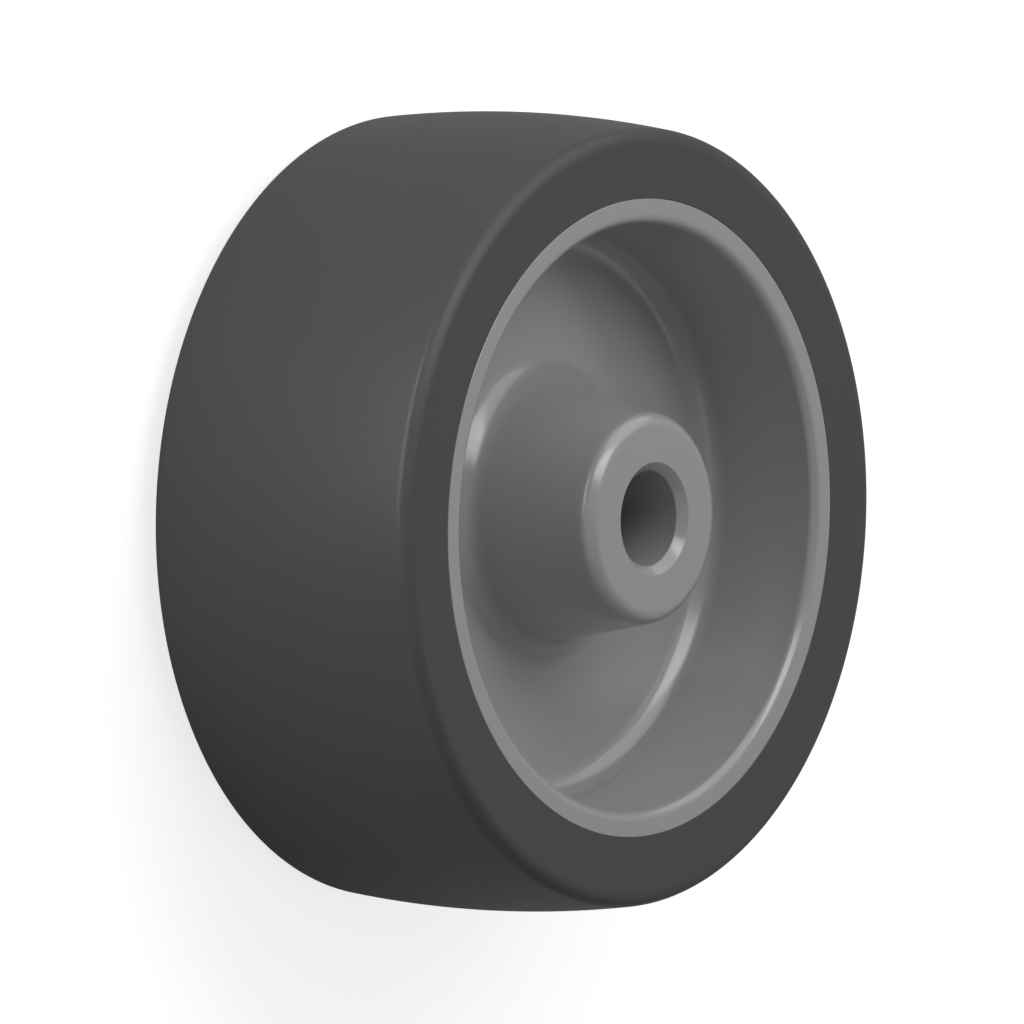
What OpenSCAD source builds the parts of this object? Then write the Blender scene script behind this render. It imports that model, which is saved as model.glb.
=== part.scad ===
// Trolley wheel: a soft tyre moulded round a one-piece plastic wheel centre with a plain bore.
// The wheel turns about Z. The origin is at the middle of the bore, half way through the wheel.
// Both faces of the wheel are alike, so each profile is worked out for the upper half and mirrored.

/* [Tyre] */
// Diameter over the middle of the tread
tyre_d = 100; // [88:1:140]
// Thickness of the tyre over the rim, at the middle of the tread
tyre_t = 10; // [6:0.5:15]
// Width of the tyre, which is the width of the rim too
tyre_w = 40; // [30:1:50]
// Radius of the gentle arc of the tread across its width
crown_r = 148; // [80:1:300]
// Radius of the shoulder between the tread and the side face
shoulder_r = 2; // [0.5:0.1:5]

/* [Rim] */
// Thickness of the rim at its two end faces
rim_wall = 3.1; // [2.4:0.1:5]
// Slope of the inner wall of the rim in degrees, so that it comes out of its mould
rim_draft = 4.3; // [1:0.1:8]
// Radius of the lip between the end face and the inner wall
lip_r = 1.3; // [0.4:0.1:2]

/* [Key between rim and tyre] */
// Width of the rib round the middle of the rim, which holds the tyre sideways
key_w = 8; // [4:0.5:12]
// Height of the rib above the rim
key_h = 1.6; // [0.8:0.1:2.5]
// Number of notches across the rib, which stop the tyre from turning on the rim
key_notches = 12; // [6:1:16]
// Width of a notch
key_notch_w = 6; // [3:0.5:8]

/* [Web] */
// Thickness of the closed web between hub and rim
web_t = 8; // [5:0.5:14]
// Radius of the fillet between the web and the inner wall of the rim
web_fillet_r = 2.9; // [1:0.1:4]

/* [Hub] */
// Length of the hub between its two end faces
hub_len = 44.8; // [40:0.1:55]
// Diameter of the hub at its end faces, before the edge is rounded
hub_end_d = 26.1; // [22:0.1:32]
// Slope of the side of the hub in degrees
hub_draft = 11; // [3:0.5:15]
// Radius of the edge round each end face
hub_edge_r = 1.9; // [0.5:0.1:2.5]
// Radius of the fillet between the hub and the web
hub_root_r = 4.2; // [1:0.1:5]

/* [Bore] */
// Diameter of the plain bore that runs on the axle
bore_d = 12; // [8:1:15]
// Width and depth of the chamfer at each end of the bore
bore_chamfer = 1.1; // [0.5:0.1:1.5]

/* [Hidden] */
$fn = 180;

tyre_r = tyre_d / 2;
rim_r = tyre_r - tyre_t;
bore_r = bore_d / 2;
half_w = tyre_w / 2;
half_hub = hub_len / 2;
half_web = web_t / 2;

// Radii of the sharp corners of the section, before they are rounded
hub_end_r = hub_end_d / 2;
hub_foot_r = hub_end_r + (half_hub - half_web) * tan(hub_draft);
rim_mouth_r = rim_r - rim_wall;
rim_foot_r = rim_mouth_r - (half_w - half_web) * tan(rim_draft);

// Centres of the crown arc and of the shoulder arc, which touches it from inside
crown_centre_x = tyre_r - crown_r;
shoulder_y = half_w - shoulder_r;
shoulder_x = crown_centre_x + sqrt(pow(crown_r - shoulder_r, 2) - pow(shoulder_y, 2));

// Corners of the wheel centre's section above its middle plane, from the bore outwards
mouth_corner = [bore_r + bore_chamfer, half_hub];
hub_edge = [hub_end_r, half_hub];
hub_foot = [hub_foot_r, half_web];
rim_foot = [rim_foot_r, half_web];
rim_lip = [rim_mouth_r, half_w];
rim_corner = [rim_r, half_w];
centre_corners = [
    [bore_r, half_hub - bore_chamfer],
    mouth_corner,
    hub_edge,
    hub_foot,
    rim_foot,
    rim_lip,
    rim_corner
];

function unit(v) = v / norm(v);

function mirrored_outline(points) = concat(
    points,
    [for (i = [len(points) - 1:-1:0]) [points[i][0], -points[i][1]]]
);

// The piece between a sharp corner and the arc that rounds it: it is cut from an outer corner
// and added to an inner one. before and after are the corners on either side.
module corner_piece(before, corner, after, r) {
    to_before = unit(before - corner);
    to_after = unit(after - corner);
    half_angle = acos(to_before * to_after) / 2;
    reach = r / tan(half_angle);
    arc_centre = corner + unit(to_before + to_after) * r / sin(half_angle);
    difference() {
        polygon([corner, corner + to_before * reach, arc_centre, corner + to_after * reach]);
        translate(arc_centre)
            circle(r);
    }
}

module both_halves() {
    for (side = [0, 1])
        mirror([0, side, 0])
            children();
}

module centre_section() {
    difference() {
        union() {
            polygon(mirrored_outline(centre_corners));
            both_halves() {
                corner_piece(hub_edge, hub_foot, rim_foot, hub_root_r);
                corner_piece(hub_foot, rim_foot, rim_lip, web_fillet_r);
            }
        }
        both_halves() {
            corner_piece(mouth_corner, hub_edge, hub_foot, hub_edge_r);
            corner_piece(rim_foot, rim_lip, rim_corner, lip_r);
        }
    }
}

// The part of the section outside the shoulder arc, as a fan from the arc's centre
module shoulder_piece() {
    arc_centre = [shoulder_x, shoulder_y];
    past_tread = [tyre_r, half_w] + [shoulder_r, shoulder_r];
    along_crown = unit(arc_centre - [crown_centre_x, 0]);
    difference() {
        polygon([
            arc_centre,
            [shoulder_x, past_tread[1]],
            past_tread,
            arc_centre + along_crown * 2 * shoulder_r
        ]);
        translate(arc_centre)
            circle(shoulder_r);
    }
}

module tyre_section() {
    difference() {
        intersection() {
            translate([rim_r, -half_w])
                square([tyre_r - rim_r, tyre_w]);
            translate([crown_centre_x, 0])
                circle(crown_r, $fn = 1440);
        }
        both_halves()
            shoulder_piece();
    }
}

// The notched rib round the rim, which the tyre is moulded over
module key_rib() {
    difference() {
        rotate_extrude()
            translate([rim_mouth_r, -key_w / 2])
                square([rim_wall + key_h, key_w]);
        for (i = [0:key_notches - 1])
            rotate([0, 0, i * 360 / key_notches])
                translate([rim_r, -key_notch_w / 2, -key_w])
                    cube([2 * key_h, key_notch_w, 2 * key_w]);
    }
}

module tyre() {
    color([0.26, 0.26, 0.27])
        difference() {
            rotate_extrude()
                tyre_section();
            key_rib();
        }
}

module wheel_centre() {
    color([0.53, 0.53, 0.54])
        union() {
            rotate_extrude()
                centre_section();
            key_rib();
        }
}

tyre();
wheel_centre();
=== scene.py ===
"""Looks of a trolley wheel: a soft tyre moulded round a plastic centre with a plain bore.

The wheel stands on the end of its hub, with its axle along Z. Everything is in metres.
"""
import math

import bmesh
import bpy
from mathutils import Matrix, Vector


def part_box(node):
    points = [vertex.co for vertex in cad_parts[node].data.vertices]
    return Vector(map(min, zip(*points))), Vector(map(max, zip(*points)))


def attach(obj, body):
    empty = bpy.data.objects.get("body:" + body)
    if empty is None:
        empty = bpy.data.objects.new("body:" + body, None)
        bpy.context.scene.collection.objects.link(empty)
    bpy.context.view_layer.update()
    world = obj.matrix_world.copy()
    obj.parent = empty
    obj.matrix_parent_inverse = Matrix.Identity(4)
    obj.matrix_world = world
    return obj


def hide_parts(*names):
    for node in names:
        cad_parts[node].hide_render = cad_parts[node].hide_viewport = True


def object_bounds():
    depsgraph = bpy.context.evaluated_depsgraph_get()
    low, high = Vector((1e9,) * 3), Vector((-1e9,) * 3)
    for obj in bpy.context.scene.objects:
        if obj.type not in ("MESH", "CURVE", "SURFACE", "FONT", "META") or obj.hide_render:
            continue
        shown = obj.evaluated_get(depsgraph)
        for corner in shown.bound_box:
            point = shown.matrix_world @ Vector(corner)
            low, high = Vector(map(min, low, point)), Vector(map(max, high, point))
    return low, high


MM = 0.001
TURN = 2 * math.pi

# The picture: no perspective, and the same scale all over. The axle stands upright here and
# lies level in the picture, so the camera is rolled.
PICTURE_SIDE = 1024
PIXELS_PER_MM = 7.995
WHEEL_CENTRE_PIXEL = (511.09, 511.39)
CAMERA_ELEVATION = math.radians(36.62)
CAMERA_ROLL = math.radians(92.915)
CAMERA_DISTANCE = 600 * MM

# Sections of the two pieces: radii of their edges and fillets, slopes of their walls.
# Diameter, width and length come from the boxes of the solids.
CROWN_RADIUS = 148 * MM
SHOULDER_RADIUS = 2.0 * MM
RIM_RADIUS = 40.0 * MM
RIM_WALL = 3.1 * MM
RIM_DRAFT = math.radians(4.3)
LIP_RADIUS = 1.3 * MM
WEB_HALF = 4.0 * MM
WEB_FILLET_RADIUS = 2.9 * MM
HUB_END_RADIUS = 13.05 * MM
HUB_DRAFT = math.radians(11)
HUB_EDGE_RADIUS = 1.9 * MM
HUB_ROOT_RADIUS = 4.2 * MM
BORE_RADIUS = 6.0 * MM
BORE_CHAMFER = 1.1 * MM
JOINT_EDGE_RADIUS = 0.12 * MM
CHAMFER_EDGE_RADIUS = 0.2 * MM

# The rib that locks the tyre on the rim. A notch is about KEY_NOTCH_STEPS faces of the rim wide.
KEY_HALF_WIDTH = 4.0 * MM
KEY_HEIGHT = 1.6 * MM
KEY_NOTCHES = 12
KEY_NOTCH_STEPS = 9

# Faces round the wheel, and across the arc of the tread
SPIN_STEPS = 360
CROWN_STEPS = 24

# The darkest and lightest tone of each material, as linear colours
RUBBER_TONES = (0.057, 0.057, 0.062), (0.065, 0.065, 0.071)
PLASTIC_TONES = (0.301, 0.304, 0.317), (0.326, 0.329, 0.343)

# How far the tone follows the broad clouds and the fine grain, and what the grain roughens
CLOUD_SHARE = 0.6
GRAIN_SHARE = 0.4
GRAIN_ROUGHNESS = 0.04

# The pale floor, and the even light from all round
FLOOR_HALF_SIDE = 2.0
FLOOR_PAINT = (0.5, 0.5, 0.5, 1)
FLOOR_GLOW = 0.75
STUDIO_LIGHT = 0.19
WHITE = (1, 1, 1, 1)

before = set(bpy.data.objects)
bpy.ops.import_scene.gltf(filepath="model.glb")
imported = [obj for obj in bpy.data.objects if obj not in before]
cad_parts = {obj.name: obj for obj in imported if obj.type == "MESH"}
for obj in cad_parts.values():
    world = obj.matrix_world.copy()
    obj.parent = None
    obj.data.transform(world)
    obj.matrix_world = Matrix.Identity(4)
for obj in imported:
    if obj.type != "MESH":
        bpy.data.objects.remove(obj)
cad_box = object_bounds()


def add_object(name, data):
    made = bpy.data.objects.new(name, data)
    bpy.context.scene.collection.objects.link(made)
    return made


def add_mesh(name, mesh, material):
    """Adds an object with the given mesh, all of one material."""
    data = bpy.data.meshes.new(name)
    mesh.to_mesh(data)
    mesh.free()
    data.materials.append(material)
    return add_object(name, data)


def make_camera():
    data = bpy.data.cameras.new("camera")
    data.type = "ORTHO"
    data.ortho_scale = PICTURE_SIDE / PIXELS_PER_MM * MM
    camera = add_object("camera", data)
    tilt = Matrix.Rotation(math.pi / 2 - CAMERA_ELEVATION, 4, "X")
    roll = Matrix.Rotation(CAMERA_ROLL, 4, "Z")
    middle = PICTURE_SIDE / 2
    aside = (middle - WHEEL_CENTRE_PIXEL[0]) / PIXELS_PER_MM * MM
    below = (WHEEL_CENTRE_PIXEL[1] - middle) / PIXELS_PER_MM * MM
    camera.matrix_world = tilt @ roll @ Matrix.Translation((aside, below, CAMERA_DISTANCE))
    bpy.context.scene.camera = camera


class Varying:
    """A number, colour or vector that varies over a surface. Sums with it add nodes to the tree."""

    def __init__(self, finish, socket):
        self.finish = finish
        self.socket = socket

    def __add__(self, other):
        return self.finish.math("ADD", self, other)

    def __mul__(self, other):
        return self.finish.math("MULTIPLY", self, other)

    __radd__ = __add__
    __rmul__ = __mul__


class Finish:
    """The surface of one material, as a tree of shader nodes."""

    def __init__(self, name):
        self.material = bpy.data.materials.new(name)
        self.material.use_nodes = True
        self.tree = self.material.node_tree
        self.tree.nodes.clear()

    def node(self, kind, settings, inputs, output=0):
        """Adds a node, sets it up and returns one of its outputs."""
        made = self.tree.nodes.new(kind)
        for name, value in settings.items():
            setattr(made, name, value)
        for key, value in inputs.items():
            if isinstance(value, Varying):
                self.tree.links.new(value.socket, made.inputs[key])
            else:
                made.inputs[key].default_value = value
        return Varying(self, made.outputs[output])

    def math(self, operation, first, second):
        return self.node("ShaderNodeMath", {"operation": operation}, {0: first, 1: second})

    def place(self):
        """Where a point lies on the piece itself."""
        return self.node("ShaderNodeTexCoord", {}, {}, "Object")

    def noise(self, place, size, detail):
        """Soft noise from 0 to 1 with patches of about the given size."""
        inputs = {"Vector": place, "Scale": 1 / size, "Detail": detail}
        return self.node("ShaderNodeTexNoise", {}, inputs, "Fac")

    def blend(self, share, dark, light):
        """A colour between two colours, by a share from 0 to 1."""
        settings = {"data_type": "RGBA"}
        inputs = {"Factor": share, 6: (*dark, 1), 7: (*light, 1)}
        return self.node("ShaderNodeMix", settings, inputs, 2)

    def bump(self, height, distance):
        inputs = {"Height": height, "Distance": distance, "Strength": 1.0}
        return self.node("ShaderNodeBump", {}, inputs)

    def surface(self, shader):
        end = self.tree.nodes.new("ShaderNodeOutputMaterial")
        self.tree.links.new(shader.socket, end.inputs["Surface"])
        return self.material


def moulded_finish(name, tones, cloud_size, grain_size, grain_height, roughness, ior, specular):
    """A moulded surface: its tone and roughness vary softly and it has a fine grain.

    roughness holds the least roughness and what the clouds add to it.
    """
    finish = Finish(name)
    place = finish.place()
    cloud = finish.noise(place, cloud_size, detail=2.0)
    grain = finish.noise(place, grain_size, detail=3.0)
    least, from_cloud = roughness
    inputs = {
        "Base Color": finish.blend(cloud * CLOUD_SHARE + grain * GRAIN_SHARE, *tones),
        "Roughness": least + cloud * from_cloud + grain * GRAIN_ROUGHNESS,
        "Normal": finish.bump(grain, grain_height),
        "IOR": ior,
        "Specular IOR Level": specular,
    }
    return finish.surface(finish.node("ShaderNodeBsdfPrincipled", {}, inputs))


def rubber_finish():
    return moulded_finish(
        "tyre_rubber",
        RUBBER_TONES,
        cloud_size=14 * MM,
        grain_size=0.35 * MM,
        grain_height=0.008 * MM,
        roughness=(0.38, 0.06),
        ior=1.5,
        specular=0.38,
    )


def plastic_finish():
    return moulded_finish(
        "centre_plastic",
        PLASTIC_TONES,
        cloud_size=18 * MM,
        grain_size=0.25 * MM,
        grain_height=0.004 * MM,
        roughness=(0.18, 0.04),
        ior=1.55,
        specular=0.9,
    )


def section_vert(mesh, radius, height):
    return mesh.verts.new((radius, 0, height))


def corner_angle(vert):
    """Angle between the two edges of the section that meet at a corner."""
    first, second = (edge.other_vert(vert).co - vert.co for edge in vert.link_edges)
    return first.angle(second)


def round_corner(mesh, vert, radius, segments):
    """Rounds a corner of the flat section with an arc of the given radius."""
    reach = radius / math.tan(corner_angle(vert) / 2)
    bmesh.ops.bevel(
        mesh,
        geom=[vert],
        offset=reach,
        offset_type="OFFSET",
        segments=segments,
        profile=0.5,
        affect="VERTICES",
        material=-1,
    )


def spin_section(mesh):
    """Turns the outline of a flat section round Z into a closed ring."""
    bmesh.ops.delete(mesh, geom=mesh.faces[:], context="FACES_ONLY")
    bmesh.ops.spin(
        mesh,
        geom=mesh.verts[:] + mesh.edges[:],
        cent=(0, 0, 0),
        axis=(0, 0, 1),
        angle=TURN,
        steps=SPIN_STEPS,
        use_merge=True,
    )
    bmesh.ops.recalc_face_normals(mesh, faces=mesh.faces[:])


def raise_key(mesh):
    """Raises the notched rib out of the band round the middle of the rim."""
    step = TURN / SPIN_STEPS
    notch_pitch = TURN / KEY_NOTCHES
    # The middle of a face lies a little inside the circle through its corners
    rim_slack = 0.2 * MM
    band = []
    for face in mesh.faces:
        middle = face.calc_center_median()
        radius = math.hypot(middle.x, middle.y)
        faces_outwards = abs(face.normal.z) < 0.1
        on_rim = abs(radius - RIM_RADIUS) < rim_slack and faces_outwards
        around = math.atan2(middle.y, middle.x)
        from_notch = (around + notch_pitch / 2) % notch_pitch - notch_pitch / 2
        in_notch = abs(from_notch) < KEY_NOTCH_STEPS * step / 2
        if on_rim and abs(middle.z) < KEY_HALF_WIDTH and not in_notch:
            band.append(face)
    made = bmesh.ops.extrude_face_region(mesh, geom=band)["geom"]
    raised = [item for item in made if isinstance(item, bmesh.types.BMVert)]
    bmesh.ops.delete(mesh, geom=band, context="FACES")
    grow = (RIM_RADIUS + KEY_HEIGHT) / RIM_RADIUS
    bmesh.ops.scale(mesh, vec=(grow, grow, 1), verts=raised)
    bmesh.ops.recalc_face_normals(mesh, faces=mesh.faces[:])


def add_piece(name, mesh, material, node):
    """Adds the piece that stands for a node of the frame."""
    piece = add_mesh(name, mesh, material)
    for polygon in piece.data.polygons:
        polygon.use_smooth = True
    weighted = piece.modifiers.new("flat faces stay flat", "WEIGHTED_NORMAL")
    weighted.mode = "FACE_AREA"
    weighted.weight = 50
    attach(piece, "root")
    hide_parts(node)


def make_wheel_centre():
    """The one-piece wheel centre: bore, tapered hub, web and rim."""
    hub_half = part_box("wheel_centre")[1].z
    rim_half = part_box("tyre")[1].z
    hub_foot = HUB_END_RADIUS + (hub_half - WEB_HALF) * math.tan(HUB_DRAFT)
    rim_mouth = RIM_RADIUS - RIM_WALL
    rim_foot = rim_mouth - (rim_half - WEB_HALF) * math.tan(RIM_DRAFT)
    # Each corner of the upper half, from the bore outwards:
    # its radius and height, the radius of the arc that rounds it, and the steps of the arc
    corners = [
        (BORE_RADIUS, hub_half - BORE_CHAMFER, CHAMFER_EDGE_RADIUS, 3),
        (BORE_RADIUS + BORE_CHAMFER, hub_half, CHAMFER_EDGE_RADIUS, 3),
        (HUB_END_RADIUS, hub_half, HUB_EDGE_RADIUS, 10),
        (hub_foot, WEB_HALF, HUB_ROOT_RADIUS, 14),
        (rim_foot, WEB_HALF, WEB_FILLET_RADIUS, 12),
        (rim_mouth, rim_half, LIP_RADIUS, 10),
        (RIM_RADIUS, rim_half, JOINT_EDGE_RADIUS, 3),
    ]
    mesh = bmesh.new()
    upper = [section_vert(mesh, radius, height) for radius, height, _, _ in corners]
    lower = [section_vert(mesh, radius, -height) for radius, height, _, _ in corners]
    key_edges = (KEY_HALF_WIDTH, -KEY_HALF_WIDTH)
    key = [section_vert(mesh, RIM_RADIUS, height) for height in key_edges]
    mesh.faces.new(upper + key + lower[::-1])
    for row in (upper, lower):
        for vert, (_, _, radius, segments) in zip(row, corners):
            round_corner(mesh, vert, radius, segments)
    spin_section(mesh)
    raise_key(mesh)
    add_piece("wheel_centre_moulding", mesh, plastic_finish(), "wheel_centre")


def make_tyre():
    """The tyre: crowned tread, rounded shoulders and flat sides."""
    tyre_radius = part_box("tyre")[1].x
    half_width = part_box("tyre")[1].z
    crown_centre = Vector((tyre_radius - CROWN_RADIUS, 0, 0))
    crown_half_angle = math.asin(half_width / CROWN_RADIUS)
    mesh = bmesh.new()
    edge_radius = crown_centre.x + math.sqrt(CROWN_RADIUS**2 - half_width**2)
    top_edge = section_vert(mesh, edge_radius, half_width)
    arc = bmesh.ops.spin(
        mesh,
        geom=[top_edge],
        cent=crown_centre,
        axis=(0, 1, 0),
        angle=2 * crown_half_angle,
        steps=CROWN_STEPS,
    )
    bottom_edge = arc["geom_last"][0]
    inner = [
        section_vert(mesh, RIM_RADIUS, -half_width),
        section_vert(mesh, RIM_RADIUS, -KEY_HALF_WIDTH),
        section_vert(mesh, RIM_RADIUS, KEY_HALF_WIDTH),
        section_vert(mesh, RIM_RADIUS, half_width),
    ]
    chain = [bottom_edge, *inner, top_edge]
    for first, second in zip(chain, chain[1:]):
        mesh.edges.new((first, second))
    bmesh.ops.contextual_create(mesh, geom=mesh.edges[:])
    for vert in (top_edge, bottom_edge):
        round_corner(mesh, vert, SHOULDER_RADIUS, 12)
    for vert in (inner[0], inner[-1]):
        round_corner(mesh, vert, JOINT_EDGE_RADIUS, 3)
    spin_section(mesh)
    raise_key(mesh)
    add_piece("tyre_moulding", mesh, rubber_finish(), "tyre")


def floor_finish():
    """A pale floor that shows white to the camera and keeps the shadow of the wheel."""
    finish = Finish("pale_floor")
    seen = finish.node("ShaderNodeLightPath", {}, {}, "Is Camera Ray")
    paint = finish.node("ShaderNodeBsdfDiffuse", {}, {"Color": FLOOR_PAINT})
    glow = finish.node("ShaderNodeEmission", {}, {"Color": WHITE, "Strength": seen * FLOOR_GLOW})
    return finish.surface(finish.node("ShaderNodeAddShader", {}, {0: paint, 1: glow}))


def make_floor():
    mesh = bmesh.new()
    bmesh.ops.create_grid(mesh, x_segments=1, y_segments=1, size=FLOOR_HALF_SIDE)
    bmesh.ops.translate(mesh, vec=(0, 0, cad_box[0].z), verts=mesh.verts[:])
    floor = add_mesh("floor", mesh, floor_finish())


# Soft lamps round the wheel: direction in degrees (round from the camera's side, above the floor),
# turn about that direction, distance, width, height and power. The long key lamp hangs aslant.
# The two strips stand low, so that they light the tread only.
LAMPS = {
    "key": (288, 53, -44, 0.60, 0.66, 0.23, 1.44),
    "top": (254, 30, 0, 0.80, 0.95, 0.72, 2.30),
    "fill": (176, 40, 0, 0.60, 0.80, 0.66, 0.46),
    "front": (18, 38, 0, 0.80, 1.00, 0.80, 0.55),
    "front strip": (342, 2, 0, 0.24, 0.16, 0.022, 0.195),
    "side strip": (50, 0, 0, 0.20, 0.10, 0.024, 0.015),
}


def make_lamps():
    for name, (around, above, aslant, distance, width, height, power) in LAMPS.items():
        data = bpy.data.lights.new(name, "AREA")
        data.shape = "RECTANGLE"
        data.size = width
        data.size_y = height
        data.energy = power
        lamp = add_object(name, data)
        turn = Matrix.Rotation(math.radians(around), 4, "Z")
        tilt = Matrix.Rotation(math.radians(90 - above), 4, "X")
        roll = Matrix.Rotation(math.radians(aslant), 4, "Z")
        lamp.matrix_world = turn @ tilt @ Matrix.Translation((0, 0, distance)) @ roll
        lamp.visible_camera = False


def make_world():
    """A soft grey light from all round, which shows white to the camera."""
    world = bpy.data.worlds.new("studio")
    world.use_nodes = True
    bpy.context.scene.world = world
    tree = world.node_tree
    tree.nodes.clear()
    seen = tree.nodes.new("ShaderNodeLightPath")
    light = tree.nodes.new("ShaderNodeBackground")
    light.inputs["Color"].default_value = WHITE
    light.inputs["Strength"].default_value = STUDIO_LIGHT
    backdrop = tree.nodes.new("ShaderNodeBackground")
    backdrop.inputs["Color"].default_value = WHITE
    mix = tree.nodes.new("ShaderNodeMixShader")
    out = tree.nodes.new("ShaderNodeOutputWorld")
    tree.links.new(seen.outputs["Is Camera Ray"], mix.inputs[0])
    tree.links.new(light.outputs[0], mix.inputs[1])
    tree.links.new(backdrop.outputs[0], mix.inputs[2])
    tree.links.new(mix.outputs[0], out.inputs["Surface"])


bpy.context.scene.view_settings.view_transform = "Standard"
make_camera()
make_world()
make_floor()
make_lamps()
make_tyre()
make_wheel_centre()
